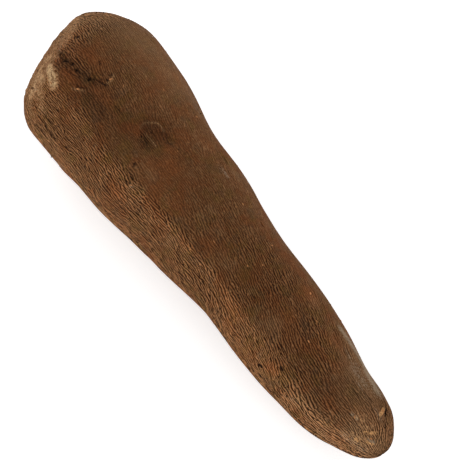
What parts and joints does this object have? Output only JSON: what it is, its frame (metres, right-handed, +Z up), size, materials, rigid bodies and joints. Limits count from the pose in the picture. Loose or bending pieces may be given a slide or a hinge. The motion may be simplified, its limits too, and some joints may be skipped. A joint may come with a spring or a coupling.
{
  "type": "yam tuber",
  "caption": "Whole yam tuber lying on its side: a thick rounded head with a rough scar and a crease, narrowing along a gently wavy body to a blunt growing tip.",
  "frame": {"origin": "on the surface that the tuber lies on, under the middle of its bounding box", "axes": "+X along the tuber from the crown end to the growing tip, +Z up, +Y across it"},
  "size_m": [0.3706, 0.1084, 0.0982],
  "materials": {
    "yam_skin": "dry, matt, corky brown skin with fine wrinkles that run along the tuber"
  },
  "bodies": {
    "root": {"yam_tuber": "yam_skin"}
  },
  "joints": []
}
